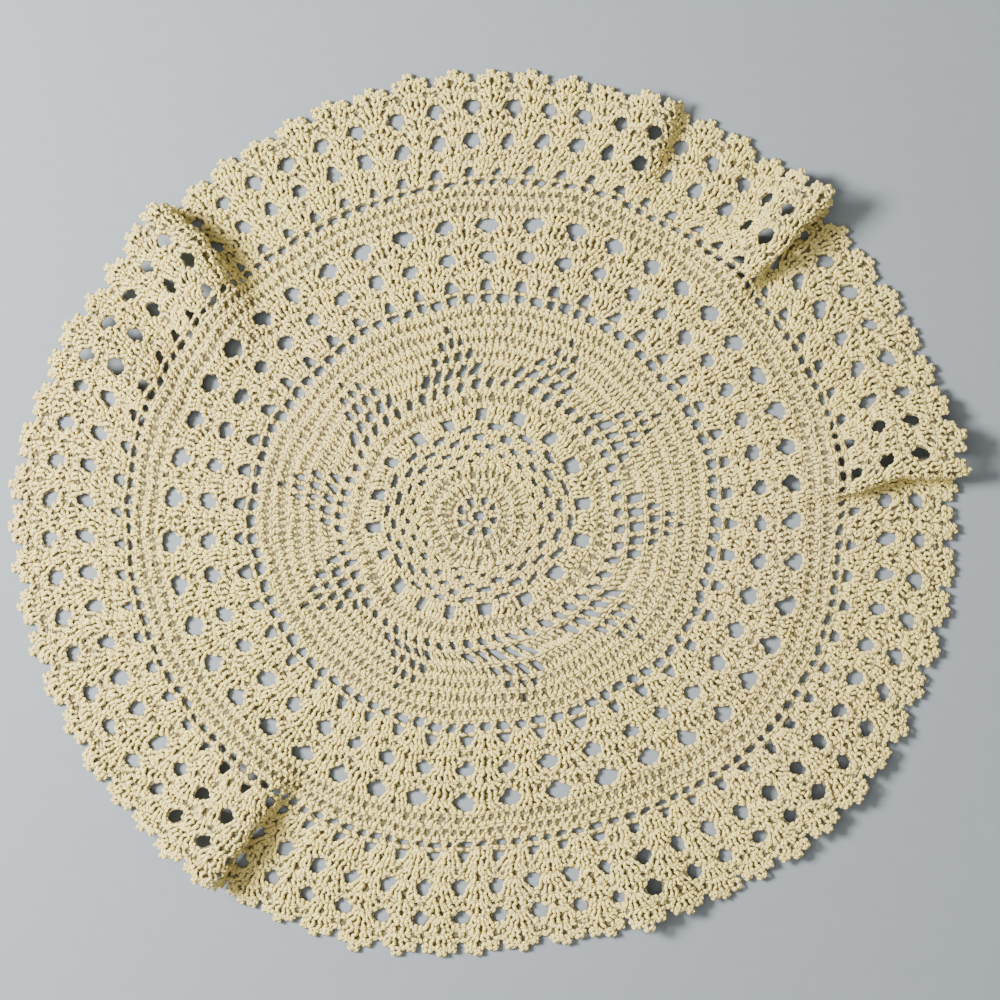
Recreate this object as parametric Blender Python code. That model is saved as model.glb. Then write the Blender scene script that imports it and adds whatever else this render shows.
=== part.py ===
"""Crocheted lace doily, laid flat with the ruffles of its border standing in uneven folds.

One closed sheet. The pattern is laid out flat in polar places (radius in millimetres from the hub,
turn in degrees, anticlockwise from +X), cut with its larger gaps, then carried to where it lies:
slightly oval, stretched a little unevenly, its border gathered into radial folds.
"""

from math import cos, pi, radians, sin

import bpy
import numpy as np
from mathutils import Vector
from mathutils.geometry import delaunay_2d_cdt

MM = 0.001

# The pattern, in millimetres from the hub
RIM_TIP = 164.6
RIM_SHOULDER = 163.0
RIM_NOTCH = 159.4
SHELL_BAND = 107.0
BORDER = 138.6
THICKNESS = 2.0

# Repeats round the doily, and the turn in degrees of the first of each
ARCHES, ARCH_TURN, ARCH_ROUND = 18, 8.0, 36.8
SHELLS, SHELL_TURN = 45, 5.5
SCALLOPS, SCALLOP_TURN = 75, -2.6

# How the round pattern lies: an oval with its long axis turned a little, the hub a little off its middle
OVAL_TURN = 7.0
OVAL_LONG = 1.036
OVAL_SHORT = 0.964
HUB = (-0.77, -3.43)

# Every 20 degrees of turn: how far the arches, the shell band and the border have slipped round, in
# degrees, and how far each of them and the scalloped edge are stretched out, in percent
LIE_COLUMNS = (
    "turn",
    "arch_slip",
    "shell_slip",
    "border_slip",
    "arch_reach",
    "shell_reach",
    "border_reach",
    "edge_reach",
)
LIE = (
    (0, -0.5, 0.0, -1.4, -4.6, -0.2, -0.6, -1.0),
    (20, 4.3, -0.9, -1.2, -3.5, 0.2, 0.3, -0.4),
    (40, 5.9, -1.5, -0.8, -0.5, -0.3, -0.4, -0.2),
    (60, 7.2, -3.0, -2.6, 0.0, 1.2, 0.6, 1.6),
    (80, 6.0, -3.8, -4.2, 0.2, 2.4, 1.7, 1.4),
    (100, 5.8, -3.5, -5.4, -1.0, 0.3, 0.8, 2.0),
    (120, 5.8, -3.8, -5.3, 0.0, -0.6, -0.7, -0.2),
    (140, 5.9, -4.6, -6.0, -0.5, -0.9, -1.2, -2.4),
    (160, 5.6, -5.2, -6.4, 0.3, -0.6, -1.0, -2.8),
    (180, 2.6, -5.0, -5.0, 3.8, -0.2, -1.0, -0.6),
    (200, -2.6, -3.4, -3.5, 1.9, -0.2, -1.6, -1.2),
    (220, -3.6, -2.7, -1.6, 7.0, -0.7, -1.0, -1.2),
    (240, -7.3, -2.5, -1.7, 8.5, -1.2, -0.2, -1.4),
    (260, -10.9, -3.3, -2.3, 5.7, -1.2, -0.2, -1.0),
    (280, -14.1, -1.9, -2.4, -4.4, -2.6, -2.8, -3.2),
    (300, -13.2, 0.8, -1.6, -4.0, -0.8, -0.4, -1.0),
    (320, -9.0, 0.0, -2.8, -6.0, 2.8, 2.8, 1.2),
    (340, -4.9, -0.2, -2.6, -3.2, 2.0, 1.2, 0.0),
)

# The folds: turn of the crest, of the foot of the steep side and of the end of the gentle side;
# radius where the fold starts and where it is full; height; degrees of border tucked in its wall;
# how far its crest juts out at the edge
FOLD_COLUMNS = ("name", "crest", "foot", "tail", "start", "full", "height", "tuck", "jut")
FOLDS = (
    ("right", 6.4, -1.0, 19.5, 86, 146, 12.0, 4.8, 3.0),
    ("upper_right", 48.6, 40.6, 58.0, 104, 146, 15.0, 6.6, 1.0),
    ("top", 74.0, 70.0, 83.0, 120, 150, 6.0, 1.0, 0.0),
    ("upper_left", 144.6, 136.4, 157.0, 98, 146, 14.0, 6.0, 0.5),
    ("left", 164.5, 171.0, 155.0, 104, 150, 8.0, 1.2, 0.0),
    ("left_swell", 152.0, 132.0, 176.0, 76, 120, 3.5, 0.0, 0.0),
    ("lower_left", 235.0, 242.8, 219.0, 98, 146, 13.0, 5.6, 0.5),
    ("bottom", 293.0, 289.0, 304.0, 124, 154, 6.0, 0.8, 0.0),
    ("lower_right_swell", 318.0, 303.0, 338.0, 110, 150, 4.0, 0.0, 0.0),
)

# Corners of each gap, in millimetres across (anticlockwise side first) and outwards from its middle
ARCH_GAP = ((0.0, 2.4), (1.9, 1.0), (2.4, -1.9), (-2.4, -1.9), (-1.9, 1.0))
PENTAGON_GAP = ((0.0, -2.9), (-2.9, -0.1), (-1.7, 3.0), (2.1, 2.6), (3.0, -0.2))
DOME_GAP = ((0.0, -3.4), (-3.5, 0.0), (-2.1, 3.2), (0.1, 3.6), (2.2, 3.0), (3.4, 0.1))
DROP_GAP = ((-0.2, -3.0), (-2.3, -0.8), (-1.1, 3.0), (1.1, 3.2), (2.7, -0.6))
RIM_GAP = ((0.2, -2.7), (-2.6, 0.6), (-0.8, 2.7), (1.4, 2.3), (2.6, -0.2))

# Rows of gaps in the shell band and the border: radius of their middles, how many, first turn, corners
GAP_ROWS = (
    (94.9, SHELLS, SHELL_TURN, PENTAGON_GAP),
    (106.7, SHELLS, SHELL_TURN, DOME_GAP),
    (138.6, SCALLOPS, SCALLOP_TURN, DROP_GAP),
    (150.3, SCALLOPS, SCALLOP_TURN, RIM_GAP),
)

# Rings of plain points that carry the folds through the solid rounds: radius, how many, first turn
SHELL_PITCH = 360 / SHELLS
SCALLOP_PITCH = 360 / SCALLOPS
SUPPORT_RINGS = (
    (12.0, 8, 0.0),
    (26.0, 18, 0.0),
    (50.0, 24, 0.0),
    (68.0, 36, 0.0),
    (84.0, 45, SHELL_TURN),
    (100.8, 45, SHELL_TURN + SHELL_PITCH / 2),
    (113.5, 75, SCALLOP_TURN),
    (121.0, 75, SCALLOP_TURN + SCALLOP_PITCH / 2),
    (129.0, 75, SCALLOP_TURN),
    (138.6, 75, SCALLOP_TURN + SCALLOP_PITCH / 2),
    (144.5, 75, SCALLOP_TURN),
    (151.0, 75, SCALLOP_TURN + SCALLOP_PITCH / 2),
)

CREAM = (0.60, 0.52, 0.36, 1.0)
COTTON_ROUGHNESS = 0.9
CDT_INSIDE = 1
CDT_REACH = 1e-5


def clear_scene():
    for item in list(bpy.data.objects):
        bpy.data.objects.remove(item, do_unlink=True)


def eased(share):
    """Goes smoothly from 0 to 1 as the share does."""
    share = np.clip(share, 0.0, 1.0)
    return share * share * (3 - 2 * share)


def side_done(off_crest, start, end):
    """Share of a fold's side that lies before each place, gathered about the middle of the side."""
    share = np.clip((off_crest - start) / (end - start), 0.0, 1.0)
    return share - np.sin(2 * pi * share) / (2 * pi)


def lie_at(turn, column):
    """A column of the LIE table at each turn, smoothly between its rows."""
    rows = np.array([row[LIE_COLUMNS.index(column)] for row in LIE])
    step = 360 / len(rows)
    place = (turn % 360) / step
    row = np.floor(place).astype(int)
    share = place - row
    before, here, after, beyond = (rows[(row + k) % len(rows)] for k in (-1, 0, 1, 2))
    bend = 2 * before - 5 * here + 4 * after - beyond
    twist = 3 * (here - after) + beyond - before
    return here + 0.5 * share * (after - before + share * (bend + share * twist))


def fold_lift(radius, turn):
    """(height, slip in degrees, distance jutting out) that the folds give each place of the pattern."""
    lift = np.zeros_like(radius)
    slip = np.zeros_like(radius)
    jut = np.zeros_like(radius)
    to_edge = np.clip((radius - BORDER) / (RIM_TIP - BORDER), 0, 1)
    for values in FOLDS:
        fold = dict(zip(FOLD_COLUMNS, values))
        off_crest = (turn - fold["crest"] + 180) % 360 - 180
        foot = fold["foot"] - fold["crest"]
        tail = fold["tail"] - fold["crest"]
        grown = eased((radius - fold["start"]) / (fold["full"] - fold["start"]))
        height = fold["height"] * grown
        edge = np.where(off_crest * foot > 0, foot, tail)
        risen = (1 + np.cos(pi * np.clip(off_crest / edge, 0, 1))) / 2
        lift += height * risen
        jut += fold["jut"] * risen**2 * to_edge**2

        reach = np.maximum(radius, 1.0)
        steep_tuck = fold["tuck"] * (grown * fold["full"] / reach) ** 2
        gentle_length = abs(tail) * pi / 180 * reach
        gentle_tuck = np.degrees(pi**2 * height**2 / (16 * gentle_length) / reach)
        for tuck, side in ((steep_tuck, foot), (gentle_tuck, tail)):
            done = side_done(off_crest, min(side, 0), max(side, 0))
            slip += tuck * (off_crest / 360 - done + 0.5)
    return lift, slip, jut


def laid(radius, turn):
    """Where places of the flat pattern come to lie, as rows of x, y, z in millimetres."""
    off_hub = np.clip(radius / SHELL_BAND, 0, 1)
    in_border = eased((radius - SHELL_BAND) / (BORDER - SHELL_BAND))
    to_edge = np.clip((radius - BORDER) / (RIM_TIP - BORDER), 0, 1)
    lift, fold_slip, jut = fold_lift(radius, turn)
    shell_slip = lie_at(turn, "shell_slip")
    slip = shell_slip + (lie_at(turn, "border_slip") - shell_slip) * in_border + fold_slip
    shell_reach = lie_at(turn, "shell_reach") * off_hub
    border_reach = lie_at(turn, "border_reach")
    reach = shell_reach + (border_reach - shell_reach) * in_border
    reach += (lie_at(turn, "edge_reach") - border_reach) * to_edge

    out = radius * (1 + reach / 100) + jut
    way = np.radians(turn + slip - OVAL_TURN)
    along = out * np.cos(way) * OVAL_LONG
    across = out * np.sin(way) * OVAL_SHORT
    tilt = radians(OVAL_TURN)
    x = HUB[0] + along * cos(tilt) - across * sin(tilt)
    y = HUB[1] + along * sin(tilt) + across * cos(tilt)
    return np.stack([x, y, lift], axis=1)


def ring(radius, count, first_turn):
    """Places spaced evenly round one radius."""
    return [(radius, first_turn + 360 * k / count) for k in range(count)]


def gap(radius, turn, corners):
    """One gap's corners as places of the pattern, anticlockwise."""
    return [(radius + out, turn + across / radius * 180 / pi) for across, out in corners]


def arch_gaps():
    """The gaps of the arches, whose round wanders more than the others."""
    turn = np.arange(ARCHES) * 360 / ARCHES
    middles = ARCH_ROUND * (1 + lie_at(turn, "arch_reach") / 100)
    turns = turn + ARCH_TURN + lie_at(turn, "arch_slip")
    return [gap(middle, place, ARCH_GAP) for middle, place in zip(middles, turns)]


def rim():
    """The edge: a scallop between each notch and the next, with two shoulders and a flattish tip."""
    edge = []
    for k in range(SCALLOPS):
        notch = SCALLOP_TURN + SCALLOP_PITCH * k
        edge.append((RIM_NOTCH, notch))
        edge.append((RIM_SHOULDER, notch + 0.2 * SCALLOP_PITCH))
        edge.append((RIM_TIP, notch + 0.42 * SCALLOP_PITCH))
        edge.append((RIM_TIP, notch + 0.62 * SCALLOP_PITCH))
        edge.append((RIM_SHOULDER, notch + 0.82 * SCALLOP_PITCH))
    return edge


def cut_pattern():
    """The flat pattern as (places, triangles): the disc inside the rim, less its gaps."""
    places = []
    loops = []

    def add_loop(corners):
        loops.append(list(range(len(places), len(places) + len(corners))))
        places.extend(corners)

    add_loop(rim())
    for corners in arch_gaps():
        add_loop(corners)
    for radius, count, first_turn, corners in GAP_ROWS:
        for middle, turn in ring(radius, count, first_turn):
            add_loop(gap(middle, turn, corners))
    for radius, count, first_turn in SUPPORT_RINGS:
        places.extend(ring(radius, count, first_turn))
    places.append((0.0, 0.0))

    flat = [Vector((r * cos(radians(a)), r * sin(radians(a)))) for r, a in places]
    _, _, triangles, origins, _, inside_of = delaunay_2d_cdt(flat, [], loops, CDT_INSIDE, CDT_REACH)
    kept = [tuple(face) for face, within in zip(triangles, inside_of) if within == [0]]
    return [places[from_places[0]] for from_places in origins], kept


def cotton():
    material = bpy.data.materials.new("cream_cotton")
    material.use_nodes = True
    shader = material.node_tree.nodes["Principled BSDF"]
    shader.inputs["Base Color"].default_value = CREAM
    shader.inputs["Roughness"].default_value = COTTON_ROUGHNESS
    shader.inputs["Metallic"].default_value = 0.0
    material.diffuse_color = CREAM
    return material


def make_doily():
    """The sheet, its underside on the surface wherever no fold lifts it."""
    places, triangles = cut_pattern()
    radius, turn = np.array(places).T
    points = laid(radius, turn) * MM
    mesh = bpy.data.meshes.new("doily")
    mesh.from_pydata(points.tolist(), [], triangles)
    mesh.materials.append(cotton())
    mesh.shade_smooth()
    doily = bpy.data.objects.new("doily", mesh)
    bpy.context.scene.collection.objects.link(doily)

    thick = doily.modifiers.new("thickness", "SOLIDIFY")
    thick.thickness = THICKNESS * MM
    thick.offset = 1.0
    thick.use_quality_normals = True
    return doily


clear_scene()
make_doily()
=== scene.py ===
from math import cos, pi, radians, sin

import bpy
import numpy as np
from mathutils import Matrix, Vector
from mathutils.geometry import delaunay_2d_cdt


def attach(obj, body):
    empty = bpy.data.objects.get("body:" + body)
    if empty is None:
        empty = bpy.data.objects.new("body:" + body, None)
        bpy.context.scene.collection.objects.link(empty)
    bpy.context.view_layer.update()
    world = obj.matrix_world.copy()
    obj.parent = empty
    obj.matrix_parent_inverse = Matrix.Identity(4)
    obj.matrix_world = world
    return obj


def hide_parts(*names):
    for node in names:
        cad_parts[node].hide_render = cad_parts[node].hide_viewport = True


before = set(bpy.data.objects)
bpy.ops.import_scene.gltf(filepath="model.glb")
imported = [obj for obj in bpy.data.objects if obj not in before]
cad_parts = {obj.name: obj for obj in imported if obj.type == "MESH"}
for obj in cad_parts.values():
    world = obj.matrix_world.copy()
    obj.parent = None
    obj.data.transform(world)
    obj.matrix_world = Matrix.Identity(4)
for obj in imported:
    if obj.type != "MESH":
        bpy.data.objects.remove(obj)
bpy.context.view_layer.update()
print("frame loaded")

mm = 0.001
chance = np.random.default_rng(75)

# How the cloth lies, in mm and degrees. The pattern is round and flat, measured from its hub by radius and
# by turn, anticlockwise from +X, and these are the CAD solid's own values for carrying it to where it lies
cloth = {
    "ovalTurn": 7.0,
    "ovalLong": 1.036,
    "ovalShort": 0.964,
    "hub": (-0.77, -3.43),
    "shellBand": 107.0,
    "border": 138.6,
    "rimTip": 164.6,
    "lieColumns": (
        "turn", "archSlip", "shellSlip", "borderSlip",
        "archReach", "shellReach", "borderReach", "edgeReach",
    ),
    "lie": (
        (0, -0.5, 0.0, -1.4, -4.6, -0.2, -0.6, -1.0),
        (20, 4.3, -0.9, -1.2, -3.5, 0.2, 0.3, -0.4),
        (40, 5.9, -1.5, -0.8, -0.5, -0.3, -0.4, -0.2),
        (60, 7.2, -3.0, -2.6, 0.0, 1.2, 0.6, 1.6),
        (80, 6.0, -3.8, -4.2, 0.2, 2.4, 1.7, 1.4),
        (100, 5.8, -3.5, -5.4, -1.0, 0.3, 0.8, 2.0),
        (120, 5.8, -3.8, -5.3, 0.0, -0.6, -0.7, -0.2),
        (140, 5.9, -4.6, -6.0, -0.5, -0.9, -1.2, -2.4),
        (160, 5.6, -5.2, -6.4, 0.3, -0.6, -1.0, -2.8),
        (180, 2.6, -5.0, -5.0, 3.8, -0.2, -1.0, -0.6),
        (200, -2.6, -3.4, -3.5, 1.9, -0.2, -1.6, -1.2),
        (220, -3.6, -2.7, -1.6, 7.0, -0.7, -1.0, -1.2),
        (240, -7.3, -2.5, -1.7, 8.5, -1.2, -0.2, -1.4),
        (260, -10.9, -3.3, -2.3, 5.7, -1.2, -0.2, -1.0),
        (280, -14.1, -1.9, -2.4, -4.4, -2.6, -2.8, -3.2),
        (300, -13.2, 0.8, -1.6, -4.0, -0.8, -0.4, -1.0),
        (320, -9.0, 0.0, -2.8, -6.0, 2.8, 2.8, 1.2),
        (340, -4.9, -0.2, -2.6, -3.2, 2.0, 1.2, 0.0),
    ),
    "foldColumns": ("name", "crest", "foot", "tail", "start", "full", "height", "tuck", "jut"),
    "folds": (
        ("right", 6.4, -1.0, 19.5, 86, 146, 12.0, 4.8, 3.0),
        ("upperRight", 48.6, 40.6, 58.0, 104, 146, 15.0, 6.6, 1.0),
        ("top", 74.0, 70.0, 83.0, 120, 150, 6.0, 1.0, 0.0),
        ("upperLeft", 144.6, 136.4, 157.0, 98, 146, 14.0, 6.0, 0.5),
        ("left", 164.5, 171.0, 155.0, 104, 150, 8.0, 1.2, 0.0),
        ("leftSwell", 152.0, 132.0, 176.0, 76, 120, 3.5, 0.0, 0.0),
        ("lowerLeft", 235.0, 242.8, 219.0, 98, 146, 13.0, 5.6, 0.5),
        ("bottom", 293.0, 289.0, 304.0, 124, 154, 6.0, 0.8, 0.0),
        ("lowerRightSwell", 318.0, 303.0, 338.0, 110, 150, 4.0, 0.0, 0.0),
    ),
    "archTurn": 8.0,
    "archWander": (12.0, 27.0, 44.0, 62.0),  # radii where the arches' own slip and reach grow and fade
    "hubWander": (12.0, 44.0),  # radii between which the middle's own shift fades
    "hubShift": (-2.2, -0.5),
    "probe": 0.2,  # step over which the cloth's slope is measured
}

# Hand work is never even. Drifts and swells are rows of wavelength and size, in mm: how far stitches lie
# from their even places, and how high. The others are the spread of chance in each stitch's own shape
handWork = {
    "drifts": ((7, 0.10), (9, 0.12), (12, 0.15), (17, 0.18), (26, 0.25), (40, 0.30)),
    "headAside": 0.20,
    "headOut": 0.15,
    "looseness": 0.22,
    "lift": 0.10,
    "chainSway": 0.08,
    "slide": 0.045,
    "pairedParts": 6,  # parts of a round in which posts stand in pairs
    "swells": ((13, 0.07), (19, 0.11), (29, 0.17), (47, 0.25)) * 3,
    "swellSoft": 0.4,  # how smoothly they rise from the surface that the cloth lies on
    "fanRelief": (0.40, 0.28, 0.0),
}

# The cotton yarn, and the grains of it that each stitch shows. A post's are rows of share of the way up, mm
# aside and mm over the cloth's underside; a chain stitch's are share along, mm outwards and mm over. The
# posts of dense rounds are narrow below, where small gaps show between them, and wide above
yarn = {
    "halfThick": 0.67,
    "squash": 0.78,
    "taper": 0.66,
    "corners": 4,
    "postGrains": (
        ((0.00, -0.78, 0.42), (0.24, -0.62, 1.25), (0.52, -0.20, 0.56)),
        ((0.00, 0.72, 0.40), (0.26, 0.56, 1.10), (0.53, 0.24, 0.50)),
        ((0.36, 0.78, 0.50), (0.48, 0.04, 1.56), (0.62, -0.72, 0.58)),
        ((0.54, -0.62, 0.52), (0.78, -0.46, 1.34), (1.02, -0.40, 0.66)),
        ((0.56, 0.52, 0.48), (0.80, 0.48, 1.20), (1.03, 0.44, 0.62)),
    ),
    "postThick": (1.0, 0.98, 0.86, 0.95, 0.92),
    "denseGrains": (
        ((0.00, -0.30, 0.42), (0.24, -0.28, 1.16), (0.50, -0.14, 0.56)),
        ((0.00, 0.28, 0.40), (0.26, 0.26, 1.02), (0.52, 0.16, 0.50)),
        ((0.38, 0.58, 0.50), (0.50, 0.04, 1.50), (0.62, -0.56, 0.58)),
        ((0.52, -0.66, 0.52), (0.76, -0.62, 1.34), (1.00, -0.56, 0.66)),
        ((0.54, 0.64, 0.48), (0.78, 0.62, 1.20), (1.01, 0.56, 0.62)),
    ),
    "denseThick": (0.72, 0.70, 0.78, 1.0, 0.98),
    "fanGrains": (
        ((0.00, -0.46, 0.42), (0.20, -0.12, 1.26), (0.45, 0.50, 0.52)),
        ((0.34, 0.66, 0.48), (0.49, 0.02, 1.62), (0.63, -0.62, 0.52)),
        ((0.55, -0.55, 0.50), (0.78, -0.02, 1.42), (1.03, 0.50, 0.60)),
    ),
    "fanThick": (1.08, 0.94, 1.10),
    "chainGrains": (
        ((0.00, -0.46, 0.62), (0.46, -0.42, 1.50), (1.00, 0.02, 0.70)),
        ((0.04, 0.40, 0.55), (0.52, 0.42, 1.26), (1.02, 0.14, 0.66)),
    ),
    "chainThick": (0.84, 0.80),
    "chainPoints": 9,  # on the path of each segment
    "chainAbove": 0.1,  # from the tops of a round's posts out to its chain
    "denseChain": {"width": 1.2, "thick": 1.08},
    "edgeThick": 0.74,
    "edgeHeight": 1.1,
    "edgePoints": 7,
}


def eased(share):
    share = np.clip(share, 0.0, 1.0)
    return share * share * (3 - 2 * share)


def sideDone(offCrest, start, end):
    # how much of a fold's side has been passed, from 0 to 1
    share = np.clip((offCrest - start) / (end - start), 0.0, 1.0)
    return share - np.sin(2 * pi * share) / (2 * pi)


def curveThrough(before, here, after, beyond, share):
    # the place at a share of the way from here to after, on the smooth curve through all four
    bend = 2 * before - 5 * here + 4 * after - beyond
    twist = 3 * (here - after) + beyond - before
    return here + 0.5 * share * (after - before + share * (bend + share * twist))


def lieAt(turn, column):
    rows = np.array([row[cloth["lieColumns"].index(column)] for row in cloth["lie"]])
    place = (turn % 360) / (360 / len(rows))
    row = np.floor(place).astype(int)
    share = place - row
    return curveThrough(*(rows[(row + k) % len(rows)] for k in (-1, 0, 1, 2)), share)


def foldLift(radius, turn):
    lift = np.zeros_like(radius)
    slip = np.zeros_like(radius)
    jut = np.zeros_like(radius)
    toEdge = np.clip((radius - cloth["border"]) / (cloth["rimTip"] - cloth["border"]), 0, 1)
    for values in cloth["folds"]:
        fold = dict(zip(cloth["foldColumns"], values))
        offCrest = (turn - fold["crest"] + 180) % 360 - 180
        foot = fold["foot"] - fold["crest"]
        tail = fold["tail"] - fold["crest"]
        grown = eased((radius - fold["start"]) / (fold["full"] - fold["start"]))
        height = fold["height"] * grown
        edge = np.where(offCrest * foot > 0, foot, tail)
        risen = (1 + np.cos(pi * np.clip(offCrest / edge, 0, 1))) / 2
        lift += height * risen
        jut += fold["jut"] * risen**2 * toEdge**2

        reach = np.maximum(radius, 1.0)
        steepTuck = fold["tuck"] * (grown * fold["full"] / reach) ** 2
        gentleLength = abs(tail) * pi / 180 * reach
        gentleTuck = np.degrees(pi**2 * height**2 / (16 * gentleLength) / reach)
        for tuck, side in ((steepTuck, foot), (gentleTuck, tail)):
            done = sideDone(offCrest, min(side, 0), max(side, 0))
            slip += tuck * (offCrest / 360 - done + 0.5)
    return lift, slip, jut


def laid(radius, turn):
    # where a place of the flat pattern lies, in mm
    offHub = np.clip(radius / cloth["shellBand"], 0, 1)
    inBorder = eased((radius - cloth["shellBand"]) / (cloth["border"] - cloth["shellBand"]))
    toEdge = np.clip((radius - cloth["border"]) / (cloth["rimTip"] - cloth["border"]), 0, 1)
    lift, foldSlip, jut = foldLift(radius, turn)
    shellSlip = lieAt(turn, "shellSlip")
    slip = shellSlip + (lieAt(turn, "borderSlip") - shellSlip) * inBorder + foldSlip
    shellReach = lieAt(turn, "shellReach") * offHub
    borderReach = lieAt(turn, "borderReach")
    reach = shellReach + (borderReach - shellReach) * inBorder
    reach += (lieAt(turn, "edgeReach") - borderReach) * toEdge

    out = radius * (1 + reach / 100) + jut
    way = np.radians(turn + slip - cloth["ovalTurn"])
    along = out * np.cos(way) * cloth["ovalLong"]
    across = out * np.sin(way) * cloth["ovalShort"]
    tilt = radians(cloth["ovalTurn"])
    x = cloth["hub"][0] + along * cos(tilt) - across * sin(tilt)
    y = cloth["hub"][1] + along * sin(tilt) + across * cos(tilt)
    return np.stack([x, y, lift], axis=-1)


def flatPlace(radius, turn):
    way = np.radians(turn)
    return np.stack([radius * np.cos(way), radius * np.sin(way)], axis=-1)


def polar(flat):
    return np.hypot(flat[..., 0], flat[..., 1]), np.degrees(np.arctan2(flat[..., 1], flat[..., 0]))


def waves(sizes):
    # smooth waves of each length, in a direction and from a start drawn by chance
    drawn = [(2 * pi / length, size, *chance.uniform(0, 2 * pi, 2)) for length, size in sizes]
    return [(bend * np.array((cos(way), sin(way))), start, size) for bend, size, way, start in drawn]


swells = waves(handWork["swells"])


def laidRound(flat):
    # where a place given as x and y lies, with the arches' own slip and reach
    radius, turn = polar(flat)
    grows, grown, fades, faded = cloth["archWander"]
    share = eased((radius - grows) / (grown - grows)) * (1 - eased((radius - fades) / (faded - fades)))
    nominal = turn - cloth["archTurn"]
    reach = 1 + share * lieAt(nominal, "archReach") / 100
    return laid(radius * reach, turn + share * lieAt(nominal, "archSlip"))


def laidFlat(flat):
    # the same, with the middle's shift and the swells too
    low, high = cloth["hubWander"]
    shift = 1 - eased((np.linalg.norm(flat, axis=-1) - low) / (high - low))
    place = laidRound(flat + shift[..., None] * cloth["hubShift"])
    swell = sum(size * np.sin(flat @ wave + start) for wave, start, size in swells)
    place[..., 2] += (swell + np.hypot(swell, handWork["swellSoft"])) / 2
    return place


def unit(vectors):
    return vectors / np.maximum(np.linalg.norm(vectors, axis=-1, keepdims=True), 1e-9)


def onCloth(flat, height):
    # the place at a height over the laid cloth's underside, and which way is up there
    step = cloth["probe"]
    base = laidFlat(flat)
    east = laidFlat(flat + (step, 0)) - base
    north = laidFlat(flat + (0, step)) - base
    up = unit(np.cross(east, north))
    return base + up * height[..., None], up


# three waves of each length, each with its own direction, start and way in which it moves the stitches
drifts = [
    (2 * pi / length * np.array((cos(way), sin(way))), start, size * np.array((cos(push), sin(push))))
    for length, size in handWork["drifts"]
    for way, start, push in chance.uniform(0, 2 * pi, (3, 3))
]


def drifted(flat):
    moved = flat.copy()
    for wave, start, push in drifts:
        moved += np.sin(flat @ wave + start)[..., None] * push
    return moved


strands = []


def addStrands(flat, height, thick=1.0):
    # flat is strands x points x 2, height is strands x points
    strands.append((drifted(flat), np.broadcast_to(height, flat.shape[:2]), thick))


def addPosts(feet, heads, kind="post", bow=0.0, thick=1.0, spread=1.0, lift=0.0):
    # a double crochet from each foot to each head; bow is how far its middle swings to its left, in mm
    count = len(feet)
    work = handWork
    heads = heads + chance.normal(0, 1, (count, 2)) * work["headOut"]
    along = heads - feet
    length = np.linalg.norm(along, axis=-1, keepdims=True)
    left = np.stack([-along[:, 1], along[:, 0]], axis=-1) / length
    heads = heads + left * chance.normal(0, work["headAside"], (count, 1))
    along = heads - feet
    swing = np.broadcast_to(np.asarray(bow, float), count)[:, None]
    mirrored = chance.choice((-1, 1), (count, 1)) if kind == "fan" else 1
    for grain, grainThick in zip(yarn[kind + "Grains"], yarn[kind + "Thick"]):
        share, aside, height = np.array(grain).T
        aside = aside * mirrored * spread * (1 + chance.normal(0, work["looseness"], (count, 1)))
        share = share + chance.normal(0, work["slide"], (count, 1))
        aside = aside + swing * 4 * share * (1 - share)
        flat = feet[:, None] + along[:, None] * share[..., None] + left[:, None] * aside[..., None]
        addStrands(flat, height + lift + chance.normal(0, work["lift"], (count, 1)), grainThick * thick)


def smoothCurve(points, shares):
    # places at shares of the length of a smooth curve through the points; points are curves x points x 2
    first = 2 * points[:, :1] - points[:, 1:2]
    last = 2 * points[:, -1:] - points[:, -2:-1]
    knots = np.concatenate([first, points, last], axis=1)
    spans = points.shape[1] - 1
    steps = 8  # in each span
    fine = np.linspace(0, spans, spans * steps + 1)
    span = np.minimum(fine.astype(int), spans - 1)
    share = (fine - span)[None, :, None]
    curve = curveThrough(*(knots[:, span + k] for k in range(4)), share)
    length = np.concatenate([[0], np.cumsum(np.linalg.norm(np.diff(curve[0], axis=0), axis=-1))])
    place = np.interp(np.asarray(shares) * length[-1], length, np.arange(len(length)))
    low = np.minimum(place.astype(int), len(length) - 2)
    part = (place - low)[None, :, None]
    return curve[:, low] * (1 - part) + curve[:, low + 1] * part


def addBraid(path, stitches, thick=1.0, width=1.0):
    # the chain of loops along a round's top; path is repeats x points x 2
    ends = smoothCurve(path, np.arange(stitches + 1) / stitches)
    start = ends[:, :-1].reshape(-1, 2)
    along = ends[:, 1:].reshape(-1, 2) - start
    outwards = unit(np.stack([along[:, 1], -along[:, 0]], axis=-1))
    count = len(start)
    for grain, grainThick in zip(yarn["chainGrains"], yarn["chainThick"]):
        share, out, height = np.array(grain).T
        out = out * width * (1 + chance.normal(0, handWork["looseness"], (count, 1)))
        out = out + chance.normal(0, handWork["chainSway"], (count, 1))
        flat = start[:, None] + along[:, None] * share[:, None] + outwards[:, None] * out[..., None]
        addStrands(flat, height + chance.normal(0, handWork["lift"], (count, 1)), grainThick * thick)


def addEdge(path):
    # a single strand that outlines an opening
    points = yarn["edgePoints"]
    flat = smoothCurve(path, np.linspace(0, 1, points))
    addStrands(flat, np.full(points, yarn["edgeHeight"]), yarn["edgeThick"])


def repeatTurns(count, firstTurn):
    return firstTurn + np.arange(count) * 360 / count


def inRepeats(places, turns):
    # places are rows of mm anticlockwise and radius, put at each turn
    aside, radius = np.array(places, float).T
    return flatPlace(radius[None], turns[:, None] + np.degrees(aside / radius)[None])


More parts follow.
